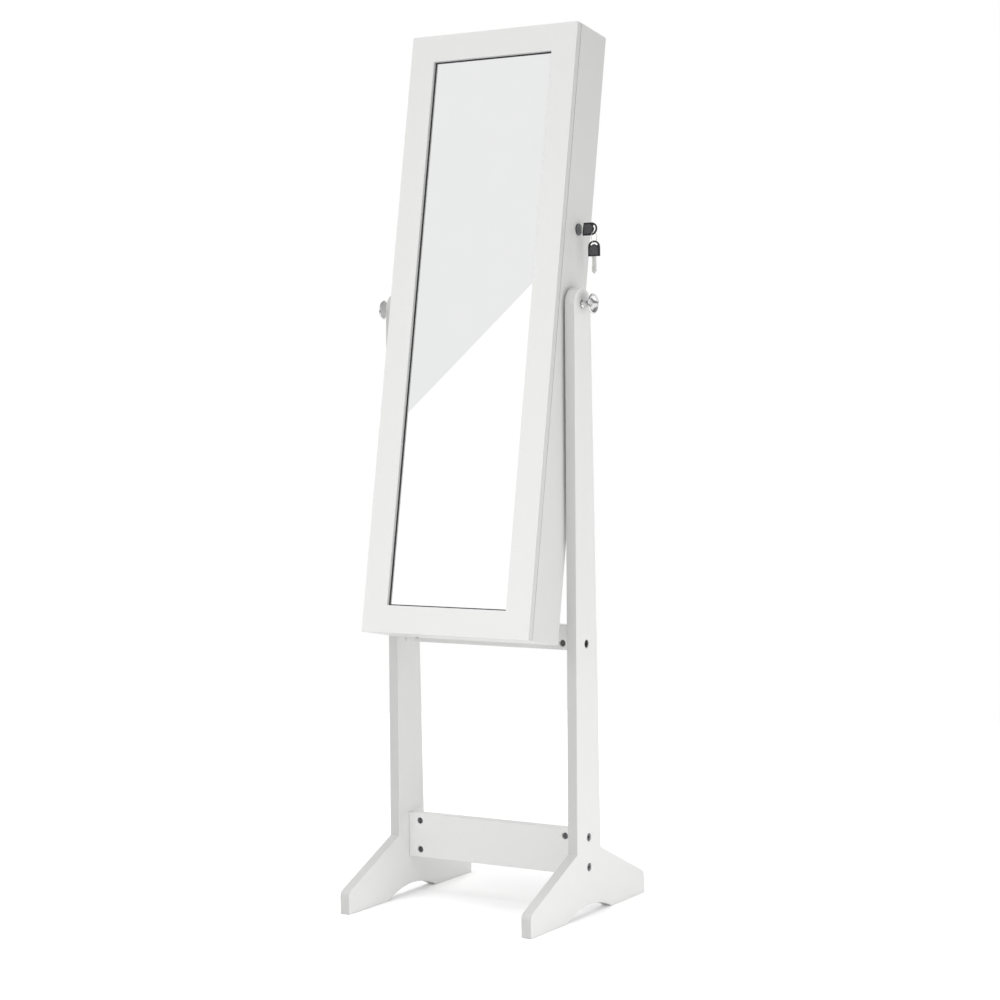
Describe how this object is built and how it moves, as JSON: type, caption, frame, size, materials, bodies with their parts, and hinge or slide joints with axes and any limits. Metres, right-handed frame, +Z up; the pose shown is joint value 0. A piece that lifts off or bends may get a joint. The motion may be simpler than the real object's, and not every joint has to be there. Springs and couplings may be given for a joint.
{
  "type": "jewelry armoire",
  "caption": "Free-standing tilting jewelry armoire: a narrow white cabinet with a full-length mirror door, a side lock and keys, carried between two footed uprights by clamp knobs.",
  "frame": {"origin": "on the floor, midway between the four foot ends", "axes": "+Z up, the mirrored front faces -Y, +X is to the right of someone facing the front"},
  "size_m": [0.402, 0.37, 1.4299],
  "materials": {
    "white_paint": "satin white paint over fibreboard",
    "steel": "zinc-plated steel",
    "zinc": "die-cast zinc alloy",
    "beech": "bare beech",
    "back_board": "white-faced thin fibreboard",
    "screw_steel": "bright steel",
    "velvet": "black flocked velvet",
    "black_board": "black-faced fibreboard",
    "clear_acrylic": "clear acrylic",
    "chrome": "polished chrome plate",
    "hinge_steel": "nickel-plated steel",
    "brass": "plain brass",
    "nylon": "natural nylon",
    "mirror": "silvered glass",
    "black_screw": "black oxide",
    "key_steel": "nickel-plated",
    "black_plastic": "moulded black plastic"
  },
  "bodies": {
    "stand": {"left_side_frame": "white_paint", "right_side_frame": "white_paint", "lower_rail": "white_paint", "upper_rail": "white_paint", "left_frame_bolts": "steel", "right_frame_bolts": "steel", "barrel_nuts": "zinc", "rail_dowels": "beech", "pivot_bushes": "steel"},
    "cabinet": {"left_panel": "white_paint", "right_panel": "white_paint", "top_panel": "white_paint", "bottom_panel": "white_paint", "back_panel": "back_board", "back_screws": "screw_steel", "cabinet_dowels": "beech", "back_lining": "velvet", "wall_linings": "velvet", "shelf_1": "black_board", "shelf_2": "black_board", "shelf_3": "black_board", "shelf_4": "black_board", "shelf_guards": "clear_acrylic", "ring_cushion": "velvet", "earring_panel": "velvet", "earring_cleats": "velvet", "necklace_rail": "black_board", "necklace_hooks": "chrome", "bracelet_bar": "chrome", "bracelet_sockets": "chrome", "pivot_inserts": "brass", "pivot_washers": "nylon", "hinge_cabinet_leaves": "hinge_steel", "hinge_pins": "steel", "hinge_cabinet_screws": "screw_steel", "lock_housing": "chrome", "lock_nut": "hinge_steel"},
    "door": {"door_frame": "white_paint", "mirror_glass": "mirror", "door_backing": "black_board", "door_lining": "velvet", "backing_screws": "black_screw", "door_hook_rail": "black_board", "door_hooks": "chrome", "door_pocket": "velvet", "hinge_door_leaves": "hinge_steel", "lock_strike": "hinge_steel", "door_screws": "screw_steel"},
    "lock": {"lock_plug": "chrome", "lock_cam": "hinge_steel", "cam_screw": "hinge_steel"},
    "key": {"key_blade": "key_steel", "key_head": "black_plastic"},
    "ring": {"key_ring": "key_steel"},
    "spare_key": {"spare_key_blade": "key_steel", "spare_key_head": "black_plastic"},
    "left_clamp_knob": {"left_knob": "chrome", "left_knob_stud": "steel"},
    "right_clamp_knob": {"right_knob": "chrome", "right_knob_stud": "steel"}
  },
  "joints": [
    {"name": "cabinet_tilt", "type": "hinge", "parent": "stand", "child": "cabinet", "pos_m": [0, 0, 0.979], "axis": [-1, 0, 0], "range_deg": [-4, 14.5]},
    {"name": "door_swing", "type": "hinge", "parent": "cabinet", "child": "door", "pos_m": [-0.1603, -0.03343, 0.9852], "axis": [0, -0.1822, -0.9833], "range_deg": [0, 105]},
    {"name": "lock_turn", "type": "hinge", "parent": "cabinet", "child": "lock", "pos_m": [0.1575, 0.02822, 1.09835], "axis": [1, 0, 0], "range_deg": [0, 90]},
    {"name": "key_pull", "type": "slide", "parent": "lock", "child": "key", "axis": [1, 0, 0], "range_m": [0, 0.03]},
    {"name": "ring_swing", "type": "hinge", "parent": "key", "child": "ring", "pos_m": [0.18671, 0.02743, 1.09406], "axis": [0, 1, 0], "range_deg": [-15, 5]},
    {"name": "spare_key_swing", "type": "hinge", "parent": "ring", "child": "spare_key", "pos_m": [0.18671, 0.02743, 1.07606], "axis": [0, 1, 0], "range_deg": [-30, 12]},
    {"name": "left_knob_turn", "type": "hinge", "parent": "cabinet", "child": "left_clamp_knob", "pos_m": [-0.18, 0, 0.979], "axis": [-1, 0, 0], "continuous": true},
    {"name": "right_knob_turn", "type": "hinge", "parent": "cabinet", "child": "right_clamp_knob", "pos_m": [0.18, 0, 0.979], "axis": [1, 0, 0], "continuous": true}
  ]
}
